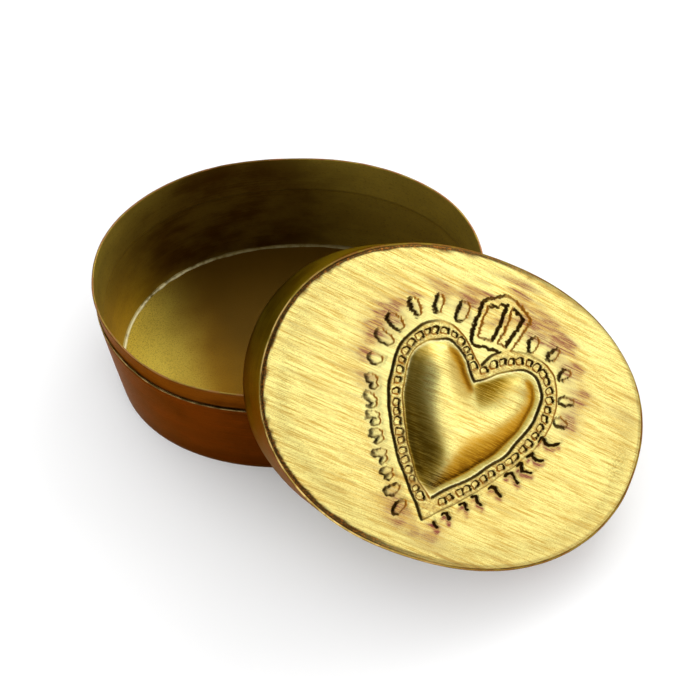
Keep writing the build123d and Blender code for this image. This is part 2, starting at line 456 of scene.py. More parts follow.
def grain(along, across, seed):
    """Seeded random numbers blurred to spots as long as along and as wide as across, with a spread of one."""
    field = blurred(np.random.default_rng(seed).standard_normal(MAP_X.shape), along, across)
    return field / field.std()


def smooth_line(points, steps=7):
    """A smooth line through points. Between two of them it is the cubic that leaves each along the line from
    the point before to the point after."""
    p = np.array(points, float)
    slope = np.gradient(p, axis=0)
    t = np.linspace(0, 1, steps, endpoint=False)[None, :, None]
    a, b, sa, sb = p[:-1, None], p[1:, None], slope[:-1, None], slope[1:, None]
    line = (a * (2 * t**3 - 3 * t**2 + 1) + sa * (t**3 - 2 * t**2 + t) + b * (3 * t**2 - 2 * t**3)
            + sb * (t**3 - t**2))
    return np.concatenate([line.reshape(-1, 2), p[-1:]])


def from_line(line, x, y):
    """Distance from places to a line: for each of its short straight stretches the nearest point is the
    place's shadow on it, kept between its ends, and the least distance counts."""
    best = np.full(x.shape, np.inf)
    for (ax, ay), (bx, by) in zip(line[:-1], line[1:]):
        dx, dy = bx - ax, by - ay
        t = np.clip(((x - ax) * dx + (y - ay) * dy) / (dx * dx + dy * dy + 1e-12), 0, 1)
        best = np.minimum(best, (x - ax - t * dx) ** 2 + (y - ay - t * dy) ** 2)
    return np.sqrt(best)


def within(line, x, y):
    """Depth inside a closed line, below zero outside it. A place is inside when a ray from it to the right
    crosses the line an odd number of times."""
    inside = np.zeros(x.shape, bool)
    for (ax, ay), (bx, by) in zip(line[:-1], line[1:]):
        if ay != by:
            inside ^= ((ay > y) != (by > y)) & (x < ax + (y - ay) * (bx - ax) / (by - ay))
    return np.where(inside, 1, -1) * from_line(line, x, y)


# %% [markdown]
# ### The heart and its border
#
# Two outlines are enough: the inner foot of the raised border and its outer edge, each as a right and a left
# line from the notch down to the tip. The heart is a pillow that rises from just inside the border. Its
# height follows mostly a quarter of a sine wave of the depth inside the outline, so it is steep at the foot
# and flat on top. Round the foot runs a flat lip, which is wider on the right. The foot is blurred little and
# the top more, and where the two lobes meet under the notch this leaves the valley of the photograph.

# %% Heart and border
INNER_RIGHT = [(-0.4, 7.6), (2, 9), (5, 11.3), (9, 13.8), (12, 14.3), (15.5, 12.7), (17.8, 9.2), (18, 5),
               (16.7, 0), (13.5, -6.5), (10, -11), (5, -15.9), (-1.5, -21.5)]
INNER_LEFT = [(-0.4, 7.6), (-2, 9), (-5, 12), (-9, 14.2), (-12, 14.1), (-15.8, 11.9), (-17.8, 8.8),
              (-17.8, 5), (-16.9, 0), (-14.8, -5), (-12, -10), (-8.5, -15), (-4.5, -19.6), (-1.5, -21.5)]
OUTER_RIGHT = [(0, 11.2), (1.5, 14.6), (5, 16.8), (9, 17.9), (12.4, 18), (18, 16), (21.6, 11), (22.5, 5),
               (21.2, -0.8), (17.5, -6.8), (13, -12.9), (7, -19.5), (0.6, -25)]
OUTER_LEFT = [(0, 11.2), (-2, 12.4), (-5, 15), (-8.5, 17.2), (-12.5, 17.8), (-17.5, 15.5), (-20.3, 11),
              (-21.2, 7), (-20.5, 1), (-18.6, -5), (-15.3, -10.5), (-11.5, -15.6), (-6.2, -21.6),
              (-1.3, -26.8)]
SLOW_SHAKE, SLOW_SPOT = 0.12, 1.3
QUICK_SHAKE, QUICK_SPOT = 0.10, 0.3
LIP = 0.8
LIP_MORE = 0.9
PUFF_WIDTH = 6.6
PUFF_HEIGHT = 4.1
ROUND_SHARE = 0.75
FOOT_BLUR = 0.6
TOP_BLUR = 2.0


def closed(right, left):
    """One closed line down the right side from the notch to the tip and back up the left."""
    return np.concatenate([smooth_line(right), smooth_line(left)[::-1]])


slow_x = MAP_X + SLOW_SHAKE * grain(SLOW_SPOT, SLOW_SPOT, 51)
slow_y = MAP_Y + SLOW_SHAKE * grain(SLOW_SPOT, SLOW_SPOT, 53)
shaky_x = slow_x + QUICK_SHAKE * grain(QUICK_SPOT, QUICK_SPOT, 52)
shaky_y = slow_y + QUICK_SHAKE * grain(QUICK_SPOT, QUICK_SPOT, 54)
inner_depth = within(closed(INNER_RIGHT, INNER_LEFT), slow_x, slow_y)
outer_depth = within(closed(OUTER_RIGHT, OUTER_LEFT), slow_x, slow_y)
border_edge = np.minimum(outer_depth, -inner_depth)
foot = inner_depth - LIP - LIP_MORE * smooth_step((0.8 * MAP_X - 0.3 * MAP_Y + 4) / 14)
climb = np.clip(foot / PUFF_WIDTH, 0, 1)
profile = ROUND_SHARE * np.sin(pi / 2 * climb) + (1 - ROUND_SHARE) * smooth_step(1.15 * climb)
high_up = smooth_step((foot - 0.5) / 2.5)
puff = PUFF_HEIGHT * ((1 - high_up) * blurred(profile, FOOT_BLUR) + high_up * blurred(profile, TOP_BLUR))
print("heart stands", round(puff.max(), 2), "mm above the plate")

# %% [markdown]
# ### Dots, rays, crown and strokes
#
# These are struck one by one with small punches, so each is a stamp: a rounded form in its own turned
# coordinates, which gives how far inside its edge a place lies. The dots follow the middle of the border at
# even steps with a seeded shake. Rays are petals that point away from the heart, and those at the lower left
# are hooked: a petal with a short foot. The crown is a few bars: three uprights, a pitched roof and a base.
# All the edges together make one field, the distance from the nearest edge of anything raised, and the relief
# is a soft step over that field, with a sunk line just outside it. At the lower right the rays are short
# strokes instead. They are cut in as grooves, and the metal that a stroke pushes aside stands up beside it.

# %% Dots, rays, crown and strokes
DOT_STEP = 2.35
DOT_SIZE = 1.6
RAISE = 0.42
SINK = 0.13
STEP_WIDTH = 0.5
RAYS = [(-25.6, 4.3, 0, 4.4, 2.3), (-25.2, 9.3, -12, 4.6, 2.4), (-24, 13.8, -27, 4.6, 2.4),
        (-20.9, 18.6, -45, 4.8, 2.3), (-15.6, 21.5, -75, 4.8, 2.2), (-9.2, 21.5, 80, 4.5, 2.6),
        (10.9, 20.6, 88, 4.2, 2.0), (16.8, 20, 63, 4.4, 2.0), (21.7, 16.4, 46, 4.2, 2.1),
        (24.4, 10.7, 16, 4.3, 1.8), (24.8, 5.6, 4, 4.2, 1.7),
        (-24.5, -0.6, 2, 3.8, 2.3), (-23.5, -4.7, 8, 3.6, 2.1), (-21.5, -8.2, 16, 3.4, 2.1),
        (-19, -11.8, 24, 3.4, 2), (-16.5, -15.8, 30, 3.4, 2), (-13.8, -19, 36, 3.6, 2.1),
        (-10.7, -22.6, 42, 3.6, 2.2), (-7.9, -25.6, 48, 3.6, 2.2)]
HOOKED = range(11, 17)
STROKES = [[(20.7, -0.7), (21.4, 0.7), (23.5, -0.7), (26.2, 0.6)],
           [(19.4, -5), (20.2, -3.9), (22, -5.1), (23.8, -4.5)],
           [(17.5, -7.9), (18.2, -6.9), (19.3, -8.4), (22, -8.4)],
           [(15.7, -11), (16.7, -9.9), (18.2, -11.1), (19.6, -11.7)],
           [(12.6, -15), (13.5, -14.1), (14.6, -15.1), (15.9, -15.7)],
           [(9.2, -18.2), (10.1, -17.6), (11, -18.8), (12.2, -19.3)],
           [(6.7, -21.2), (7.6, -20.5), (8.6, -21.5), (9.3, -21.8)],
           [(3.4, -24.1), (4.2, -23.6), (4.9, -24.2), (5.5, -24.8)],
           [(1.8, -26.6), (2.5, -27.2), (3.3, -27.8)]]
STROKE_HALF = 0.37
STROKE_DEPTH = 0.3
RIDGE_HEIGHT, RIDGE_WIDTH, RIDGE_SHIFT = 0.25, 0.45, (0.3, 0.75)
UPPER_RAYS = 12
LEAST_SLOPE = 0.35
FIELD_END = 1.5
CROWN = [[(-4.1, 16.9), (-4.4, 21), (-4.5, 25.3)], [(1.2, 17.7), (1.6, 22), (1.6, 27.1)],
         [(4.8, 16.9), (5.9, 21), (7.0, 24.9)], [(-4.5, 25.4), (1.4, 27.8), (7.1, 25.1)],
         [(-4, 16.5), (0, 16.9), (4.7, 16.5)]]
HOOK_SIZE = (2.0, 1.4)
CROWN_BAR = 1.7
TOOTH = 0.85
CROWN_TEETH, RAY_TEETH, WORN_TEETH = 0.14, 0.16, 0.05
TIPS = [(-8, 26), (-4.5, 28.3), (4, 29), (8, 27), (9.6, 24.4), (13, 25.5), (17.5, 24), (-6, -28.4),
        (-2, -28.7), (2, -29)]
FAR = -9.0


def teeth(run, size):
    """A zigzag along a run, from minus size to size, as the edge of a worn punch leaves."""
    return size * (4 * np.abs(run / TOOTH % 1 - 0.5) - 1)


def stamp(x, y, turn, length, width, power, jag=0.0):
    """Depth inside a turned rounded form: one less the sum of the places along and across it over its half
    sizes, raised to a power, times a quarter of its width. A high power makes the form squarer."""
    c, s = cos(turn), sin(turn)
    along = (shaky_x - x) * c + (shaky_y - y) * s
    across = (shaky_y - y) * c - (shaky_x - x) * s + teeth(along, jag)
    return width / 4 * (1 - np.abs(2 * along / length) ** power - np.abs(2 * across / width) ** power)


def even_places(line, step, rng):
    """Places at even steps along a smooth line, shaken a little, with the line's direction at each."""
    run = np.concatenate([[0], np.cumsum(np.hypot(*np.diff(line, axis=0).T))])
    at = np.arange(0.8 * step, run[-1] - 0.4 * step, step)
    at = at + rng.uniform(-0.12, 0.12, len(at)) * step
    x, y = np.interp(at, run, line[:, 0]), np.interp(at, run, line[:, 1])
    ahead = np.gradient(line, axis=0)
    return x, y, np.arctan2(np.interp(at, run, ahead[:, 1]), np.interp(at, run, ahead[:, 0]))


def from_strokes(shift):
    """Distance from places to the nearest stroke, after all the strokes are moved aside by a shift."""
    lines = [smooth_line(line) + shift for line in STROKES]
    return np.min([from_line(line, shaky_x, shaky_y) for line in lines], axis=0)


shake = np.random.default_rng(61)
dot_edge = np.full_like(MAP_X, FAR)
for inner_side, outer_side in ((INNER_RIGHT, OUTER_RIGHT), (INNER_LEFT, OUTER_LEFT)):
    middle = (smooth_line(inner_side) + smooth_line(outer_side)) / 2
    for x, y, turn in zip(*even_places(middle, DOT_STEP, shake)):
        length, width = DOT_SIZE * shake.uniform(0.85, 1.2, 2)
        turn += shake.uniform(-0.25, 0.25)
        dot_edge = np.maximum(dot_edge, stamp(x, y, turn, length, width, 4, WORN_TEETH))
ray_edge = np.full_like(MAP_X, FAR)
tips = list(TIPS)
for number, (x, y, turn, length, width) in enumerate(RAYS):
    length, width = length * shake.uniform(0.85, 1.1), width * shake.uniform(0.8, 1.1)
    forms = [(x, y, turn, length, width)]
    if number in HOOKED:
        petal = (x - 0.2, y + 0.4, turn - 8, 0.9 * length, 0.85 * width)
        forms = [petal, (x + 1.0, y - 0.9, turn + 35, *HOOK_SIZE)]
    for form_x, form_y, form_turn, *size in forms:
        jag = RAY_TEETH if y > UPPER_RAYS else WORN_TEETH
        ray_edge = np.maximum(ray_edge, stamp(form_x, form_y, radians(form_turn), *size, 2, jag))
    way = radians(turn) + (pi if x * cos(radians(turn)) + y * sin(radians(turn)) < 0 else 0)
    tips.append((x + length / 2 * cos(way), y + length / 2 * sin(way)))
toothed_x = shaky_x + teeth(shaky_y, CROWN_TEETH)
bars = [smooth_line(line) for line in CROWN]
crown_edge = CROWN_BAR / 2 - np.min([from_line(bar, toothed_x, shaky_y) for bar in bars], axis=0)
raised_edge = np.maximum(np.maximum(border_edge, ray_edge), crown_edge)
stroke = np.clip(STROKE_HALF - from_strokes((0, 0)), -FIELD_END, FIELD_END)


def evened(field):
    """A field over its own steepness, which makes it the distance in millimetres near its zero line, with the
    two parts of its slope."""
    slope_x, slope_y = np.gradient(field, CELL)
    distance = field / np.maximum(np.hypot(slope_x, slope_y), LEAST_SLOPE)
    return np.clip(distance, -FIELD_END, FIELD_END), slope_x, slope_y


edge, steep_x, steep_y = evened(np.minimum(raised_edge, -dot_edge))
relief = RAISE * smooth_step(edge / STEP_WIDTH + 0.5) - SINK * bell(edge, -0.3, 0.3)
relief = relief + RIDGE_HEIGHT * bell(from_strokes(RIDGE_SHIFT), 0, RIDGE_WIDTH)
relief = blurred(relief - STROKE_DEPTH * smooth_step(stroke / STEP_WIDTH + 0.5), 0.1) + puff
print(len(RAYS), "rays,", len(STROKES), "strokes and a crown of", len(CROWN), "bars")

# %% [markdown]
# ### Marks for the finish
#
# The brass was darkened and then rubbed bright again, so dark patina stays where a rag can't reach: in the
# sunk lines round the relief, and as a purplish bloom outside the rays and under the strokes. Light and shade
# are painted over it as well: a painted shade on the edges that look left and down, a painted amber
# reflection on those that look right, and painted light and shade on the heart's flanks. Each of these is a
# field on the same map. The edge field goes to the mesh as it is, because a shader can draw a sharp ragged
# line from a smooth distance, sharper than the mesh's own cells.
#
# First the edges. The field that picks their painted light is above zero at the left and lower edges of a
# raised form, where the line gets a painted shade and stays dark, and below zero at the right edges, where it
# turns amber as a painted reflection. Heavy says how strong the line is.

# %% Edges
# Above zero the edge line gets a painted shade, below zero a painted amber reflection.
shade_and_glint_side = np.maximum(0.9 * steep_x, 0.8 * steep_y) - 0.6 * np.maximum(-steep_x, 0)
in_dots = -dot_edge < raised_edge
shade_and_glint_side = blurred(np.where(in_dots, 0.28 + 0.5 * steep_y + 0.3 * steep_x, shade_and_glint_side), 0.12)
struck = np.maximum(ray_edge, crown_edge) > border_edge
heavy = np.where(in_dots, 1.4, np.where(struck, 0.8 + 0.6 * (crown_edge > ray_edge), 0.5))
soft_left = smooth_step((-MAP_X - 8) / 6) * smooth_step((15 - MAP_Y) / 6) * struck
heavy = blurred(heavy * (1 - 0.4 * soft_left), 0.15)
shade_and_glint_side = shade_and_glint_side * (1 - 0.5 * soft_left * (shade_and_glint_side > 0))
band = smooth_step(border_edge / 0.6 + 0.5)

# %% [markdown]
# The heart's light and shade are painted into its colour, by its slopes. The direction in which the depth
# inside its outline grows says which way a flank looks, and the distance from the foot says how high on it a
# place lies. The left flank gets a painted brown shade, more broadly towards the tip, and the right lobe a
# painted olive shade under the notch. The flanks that look right get a painted amber reflection, with a
# bright amber stripe on the left lobe, and the tip gets the deepest painted shade. Inside the foot runs a
# painted pale highlight on the lip, and a painted dull shade beyond it on the right.

# %% Light and shade on the heart
low = smooth_step((6 - MAP_Y) / 20)
low_right = smooth_step((12 - MAP_Y) / 20)
look_x, look_y = np.gradient(blurred(inner_depth, 1.0), CELL)
wide_x, wide_y = np.gradient(blurred(inner_depth, 2.4), CELL)
left_side = np.clip(1.15 * wide_x + 0.25 * wide_y, 0, 1)
right_side = np.clip(0.45 * wide_y - 1.0 * wide_x, 0, 1)
upper = np.clip(1.5 * (-1.1 * look_x - 0.5 * look_y - 0.35), 0, 1)
shade_and_glint_side = shade_and_glint_side * (1 - np.clip(1.4 * bell(inner_depth, 0, 0.9) * left_side, 0, 1))
# Painted pale highlight along the lip at the heart's foot.
lip_highlight = bell(inner_depth, 0.45, 0.25) * (1 - 0.9 * low * left_side)
# Painted brown shade on the heart's left flank, broader towards the tip.
beyond = np.maximum(foot - 1.2 - 1.2 * low, 0) / (2.3 + 1.7 * low)
shade = left_side * smooth_step((foot + 0.7 + 0.5 * low) / 0.8) * bell(beyond, 0, 1) * (0.54 + 0.36 * low)
shade = shade * (1 - 0.4 * smooth_step((MAP_Y - 9) / 4))
# Painted olive shade on the right lobe under the notch.
olive = np.clip(1.8 * (0.8 * look_x - 0.6 * look_y - 0.2), 0, 1) * smooth_step((foot + 0.4) / 0.8)
olive = olive * (1 - smooth_step((foot - 0.3) / 6.5)) * smooth_step(MAP_X / 3 + 0.5)
olive = 1.15 * olive * bell(np.maximum(MAP_X - 2.5, 0), 0, 5.5)
# Painted amber reflection on the flanks that look right, with a stripe on the left lobe's right flank.
broad = smooth_step((foot - 0.1) / 0.9) * np.exp(-np.maximum(foot - 1.4, 0) / (4.2 + 4.0 * low_right))
line = bell(foot - 0.2 * grain(2, 2, 73), 0.9, 0.45)
glow = right_side * (0.3 * line + (0.55 + 0.65 * low_right) * broad)
glow = np.maximum(glow, upper * (0.75 * bell(foot, 1.2, 0.9) + 0.4 * broad))
# Painted dull shade at the heart's foot, strongest on the right.
hollow = np.maximum(right_side, 0.4) * smooth_step((inner_depth - 0.6) / 0.5)
hollow = hollow * (1 - smooth_step((foot - 0.2) / 0.9))
# The tip and the lowest flanks get the deepest painted shade.
in_tip = bell(MAP_X, -0.5, 4.5) * bell(MAP_Y, -18, 4.5) * smooth_step((foot + 0.3) / 0.8)
deepest_shade = np.max([0.6 * low * left_side * shade, right_side * low * (0.5 * line + 0.55 * broad), 0.6 * olive,
               1.1 * in_tip], axis=0)
shade = np.maximum(shade, 0.9 * olive)
shade, glow, deepest_shade = [blurred(field * (inner_depth > 0), 0.3) for field in (shade, glow, deepest_shade)]

# %% [markdown]
# The bloom is a stain of wisps. It is strongest at the rays' outer tips, round the crown and below the
# heart's tip, and fades out round them, with a faint ring further out over the upper half, two patches above
# and beside the crown, and a thin trace under each stroke. Pressed is the smoother metal between the border
# and the rays.

# %% Bloom
far_out = -outer_depth
upper_left = smooth_step((MAP_Y - 0.5 * MAP_X + 16) / 10)
pressed = smooth_step(far_out / 0.6) * (1 - smooth_step((far_out - 4.8) / 1.6)) * upper_left
from_tips = np.sqrt(np.min([((shaky_x - x) / 1.3) ** 2 + (shaky_y - y) ** 2 for x, y in tips], axis=0))
wisps = 0.5 * grain(2.4, 0.3, 71) + 0.5 * grain(3.5, 1.5, 72)
bloom = bell(from_tips, 0, 1.9) * (0.7 + 0.5 * wisps) + 0.3 * bell(from_tips, 0, 4.5) * (1 + wisps)
ring = bell(far_out - 0.5 * wisps, 7.0, 1.2) * smooth_step((MAP_Y - 0.2 * MAP_X - 4) / 8)
patch = 1.25 * bell(MAP_X, 1, 5.5) * bell(MAP_Y, 32.4, 2.6)
patch = patch + 0.6 * bell(MAP_X, 10, 3.2) * bell(MAP_Y, 27.2, 1.8)
bloom = bloom + 0.6 * ring * (0.6 + wisps) + 0.8 * patch * (0.9 + wisps)
low_left = smooth_step(-MAP_Y / 10 + 0.3) * smooth_step(-(MAP_X + 8) / 6)
bloom = np.clip(bloom, 0, 1) * smooth_step((far_out - 0.5) / 1.5) * (1 - 0.8 * low_left)
under = bell(from_strokes((0.4, -1.0)), 0, 0.65)
bloom = bloom + 1.2 * under * (1 - smooth_step(3 * stroke + 0.5))
print("bloom reaches", round(float(bloom.max()), 2))

# %% [markdown]
# ## The lid's plate
#
# The plate is a shallow pan: flat in the middle, rolled over a rounded shoulder, with a short wall that is
# soldered inside the lid's band. The grid is first laid out on a larger oval, as wide as the pan would be if
# it were ironed flat. Each point then knows its distance from that rim, and the first few millimetres are
# wrapped round the shoulder: up the wall, then round the arc, then flat. Towards the shoulder the flat part
# droops a little, most at the front.

# %% The plate
WALL = 0.4
SHOULDER = 1.6
DROOP = 0.30
DROOP_WIDTH = 5.5
PLATE_DIMPLE = 0.035
GROOVE = 2.45
lid_inset = SHEET - LID_PLAY
arc_length = WALL + SHOULDER * pi / 2
saved = arc_length - SHOULDER
PLATE_US = spaced(300, [0, 0.62, 0.68, 0.93, 0.95, 1], [1, 1, 0.35, 0.35, 1.3, 1.3])
PLATE_VS = spaced(256, [0, 0.84, 0.88, 0.94, 0.96, 1], [1, 1, 0.6, 0.6, 1.4, 1.4])


def wrapped(run, radius, power):
    """Inset and height of a pan's surface at a run from its lower edge: up the wall, then round the shoulder
    with a radius about the shoulder's centre, then level. The arc's cosine and sine are raised to two over
    the power, so that two gives a round shoulder and more gives a squarer one."""
    angle = np.clip((run - WALL) / SHOULDER, 0, pi / 2)
    inset = SHOULDER - radius * np.abs(np.cos(angle)) ** (2 / power) + np.maximum(run - arc_length, 0)
    height = PLATE_FOOT + np.minimum(run, WALL) + radius * np.sin(angle) ** (2 / power)
    return inset, height


def read_map(field, x, y):
    """The map's value at places between its points, weighted by how near each of the four round it is."""
    i = np.clip((x + REACH) / CELL, 0, len(ticks) - 1.001)
    j = np.clip((y + REACH) / CELL, 0, len(ticks) - 1.001)
    a, b = i.astype(int), j.astype(int)
    s, t = i - a, j - b
    return ((1 - s) * (1 - t) * field[a, b] + s * (1 - t) * field[a + 1, b]
            + (1 - s) * t * field[a, b + 1] + s * t * field[a + 1, b + 1])


def pan(us, vs, radius, heights):
    """A pan's surface, with the heights of a map added to its level part."""
    x, y, rim_x, rim_y, share = oval_disc(us, vs, lid_inset - saved)
    nx, ny = outward(rim_x, rim_y)
    run = (1 - share) * (rim_x * nx + rim_y * ny)
    inset, height = wrapped(run, radius, 2 + 3 * smooth_step(0.5 + 0.5 * ny - 0.7 * nx))
    shift = inset - (run - saved)
    x, y = x - nx * shift, y - ny * shift
    level = smooth_step((run - arc_length) / 3)
    droop = DROOP * (1 - smooth_step((run - arc_length) / DROOP_WIDTH)) * smooth_step(run / arc_length)
    droop = droop * (0.35 + 0.65 * smooth_step(0.5 - 0.9 * ny + 0.4 * nx))
    height = height - droop + level * (read_map(heights, x, y) + dimples(x, y, PLATE_DIMPLE, 7.0, 44))
    return x, y, height, run


x, y, z, run = pan(PLATE_US, PLATE_VS, SHOULDER, relief)
back_x, back_y, back_z, _ = pan(PLATE_US[::2], PLATE_VS[::2], SHOULDER - SHEET, blurred(relief, 0.35))
front, back = np.stack([x, y, z], -1), np.stack([back_x, back_y, back_z], -1)
fade = smooth_step((run - arc_length) / 1.5)
around = np.arctan2(y, x)
distances = {"edge": edge, "stroke": stroke}
amounts = {"shade_and_glint_side": shade_and_glint_side, "heavy": heavy, "band": band, "lip_highlight": lip_highlight, "shade": shade, "glow": glow,
           "deepest_shade": deepest_shade, "hollow": hollow, "pressed": pressed, "bloom": bloom}
plate_marks = {mark: fade * read_map(field, x, y) + (1 - fade) * FAR for mark, field in distances.items()}
plate_marks.update({mark: fade * read_map(field, x, y) for mark, field in amounts.items()})
groove = 1 - smooth_step((run - GROOVE - wander(around, 0.3, 7, 60, 45)) / 0.3)
plate_marks["groove"] = groove * (0.2 + 0.8 * smooth_step(0.6 - 0.9 * np.cos(around) + 0.1 * np.sin(around)))
# Painted shade on the plate's rounded shoulder, strongest at the front.
plate_marks["shoulder"] = smooth_step(0.45 - 0.75 * np.sin(around)) * (1 - smooth_step((run - 1.0) / 5.0))
plate_marks["rubbed"] = bell(x, 43.5, 2.6) * bell(y, 0.5, 4.2)
for mark, values in plate_marks.items():
    plate_marks[mark] = np.append(values, np.full(back_x.size, FAR if mark in distances else 0.0))
lid_face = sheet("lid_face", front, back, plate_marks, LID, "lid_plate")

# %% The two small seams
neck_seam = bead("neck_seam", SHEET - 0.28, BAND_TOP - 0.05, 1, 0.02, 0.3, 32, BOX, "neck_solder")
lid_seam = bead("lid_seam", lid_inset, PLATE_FOOT, -1, 0.2, 0.7, 33, LID, "lid_solder")

# %% [markdown]
# ## Writing shaders as sums
#
# A finish is a small network of nodes. Two classes keep it readable: one wraps a socket, so that ordinary
# operators add Math nodes, and the other wraps a material and adds any other node in one call.

# %% Shader classes
UNTURNED = (0.0, 0.0, 0.0)


def colour(code):
    """A colour from six hex digits, as light: each part is raised to 2.4 after the small offset of screens.
    Anything else is a socket already, and stays as it is."""
    if not isinstance(code, str):
        return code
    parts = [int(code[i:i + 2], 16) / 255 for i in (0, 2, 4)]
    return (*[p / 12.92 if p <= 0.04045 else ((p + 0.055) / 1.055) ** 2.4 for p in parts], 1.0)


class Wire:
    """A number or colour that leaves a node. Sums with it add Math nodes."""

    def __init__(self, finish, socket):
        self.finish, self.socket = finish, socket

    def math(self, operation, first, second):
        return self.finish.node("ShaderNodeMath", {"operation": operation}, {0: first, 1: second})

    def __add__(self, other):
        return self.math("ADD", self, other)

    def __radd__(self, other):
        return self.math("ADD", other, self)

    def __sub__(self, other):
        return self.math("SUBTRACT", self, other)

    def __rsub__(self, other):
        return self.math("SUBTRACT", other, self)

    def __mul__(self, other):
        return self.math("MULTIPLY", self, other)

    def __rmul__(self, other):
        return self.math("MULTIPLY", other, self)

    def __abs__(self):
        return self.finish.node("ShaderNodeMath", {"operation": "ABSOLUTE"}, {0: self})

    def between(self, low, high):
        """0 at low, 1 at high, and smooth and clipped between them."""
        return self.finish.node("ShaderNodeMapRange", {"interpolation_type": "SMOOTHSTEP"},
                                {"Value": self, "From Min": low, "From Max": high})


class Finish:
    """A material, or the world's light, and the nodes that make it."""

    def __init__(self, owner):
        owner.use_nodes = True
        self.owner, self.tree = owner, owner.node_tree
        self.tree.nodes.clear()

    def node(self, kind, settings=None, values=None, out=0):
        """Adds a node, sets it up, fills or links its sockets, and gives back one of its outputs."""
        made = self.tree.nodes.new(kind)
        for key, value in (settings or {}).items():
            setattr(made, key, value)
        for key, value in (values or {}).items():
            if isinstance(value, Wire):
                self.tree.links.new(value.socket, made.inputs[key])
            else:
                made.inputs[key].default_value = value
        return Wire(self, made.outputs[out]) if made.outputs else None

    def mark(self, name):
        """A piece's own mark, from its mesh."""
        return self.node("ShaderNodeAttribute", {"attribute_name": name}, out="Fac")

    def mix(self, under, *coats):
        """A colour with coats laid over it in turn, each a share and a colour. A colour is a socket or six
        hex digits."""
        for share, over in zip(coats[::2], coats[1::2]):
            under = self.node("ShaderNodeMix", {"data_type": "RGBA"},
                              {0: share, 6: colour(under), 7: colour(over)}, out=2)
        return under

    def place(self, turned, stretch=(1.0, 1.0, 1.0)):
        """Object coordinates in millimetres, turned into a piece's own axes, then stretched."""
        spot = self.node("ShaderNodeTexCoord", out="Object")
        turned = self.node("ShaderNodeMapping", None,
                           {"Vector": spot, "Rotation": turned, "Scale": (1 / MM, 1 / MM, 1 / MM)})
        return self.node("ShaderNodeVectorMath", {"operation": "MULTIPLY"}, {0: turned, 1: stretch})

    def axis(self, turned, part):
        """One coordinate of a place in millimetres: 0 along a piece's length, 1 across it."""
        return self.node("ShaderNodeSeparateXYZ", None, {0: self.place(turned)}, out=part)

    def noise(self, turned, stretch, detail=3.0, rough=0.55):
        """Cloudy noise about a middle of one half. The stretch gives how quickly it changes along a piece's
        length, width and height, as three numbers or as one for all."""
        stretch = stretch if isinstance(stretch, tuple) else (stretch, stretch, stretch)
        return self.node("ShaderNodeTexNoise", None, {"Vector": self.place(turned, stretch), "Scale": 1.0,
                                                      "Detail": detail, "Roughness": rough})

    def metal(self, colour, roughness, height, bump_depth, tint=(1.0, 0.85, 0.55, 1.0), share=1.0):
        """Ends the network in bare metal, with a height in millimetres times bump_depth as its fine relief.
        The tint is what the metal keeps of its colour at a grazing angle, share how much of it is metal."""
        bump = self.node("ShaderNodeBump", None,
                         {"Strength": 1.0, "Distance": bump_depth * MM, "Height": height})
        shader = self.node("ShaderNodeBsdfPrincipled", None,
                           {"Base Color": colour, "Metallic": share, "Roughness": roughness, "Normal": bump,
                            "Specular Tint": tint})
        self.node("ShaderNodeOutputMaterial", None, {"Surface": shader})


BRUSH_ANGLE = 4
LID_TURN = tuple(Matrix(LID_AXES.tolist()).to_euler())
BRUSH_TURN = tuple((Matrix.Rotation(radians(BRUSH_ANGLE), 3, "Z") @ Matrix(LID_AXES.tolist())).to_euler())

# %% [markdown]
# ## The embossed plate's finish
#
# Pale gold brass, brushed nearly along its length. Three layers of stretched noise give the brush lines:
# short fine ones, middling ones, and long faint ones that also carry warm tan streaks of leftover patina.
# They hardly change with height, so the lines run on over the heart. Then the coats go on in the order in
# which they lie: tan, sand, the smoother pressed metal, a painted shade towards the front and the right end,
# worn places, the border and the bloom, a painted highlight on the heart's lip and a painted shade at its
# foot, then a painted amber reflection and painted brown shade on the heart's flanks, broken up by the brush
# lines, and last the lines along the edges: a painted amber reflection, brown patina and a nearly black
# painted shade.

# %% Embossed gold brass
NEARLY_BLACK = "241503"


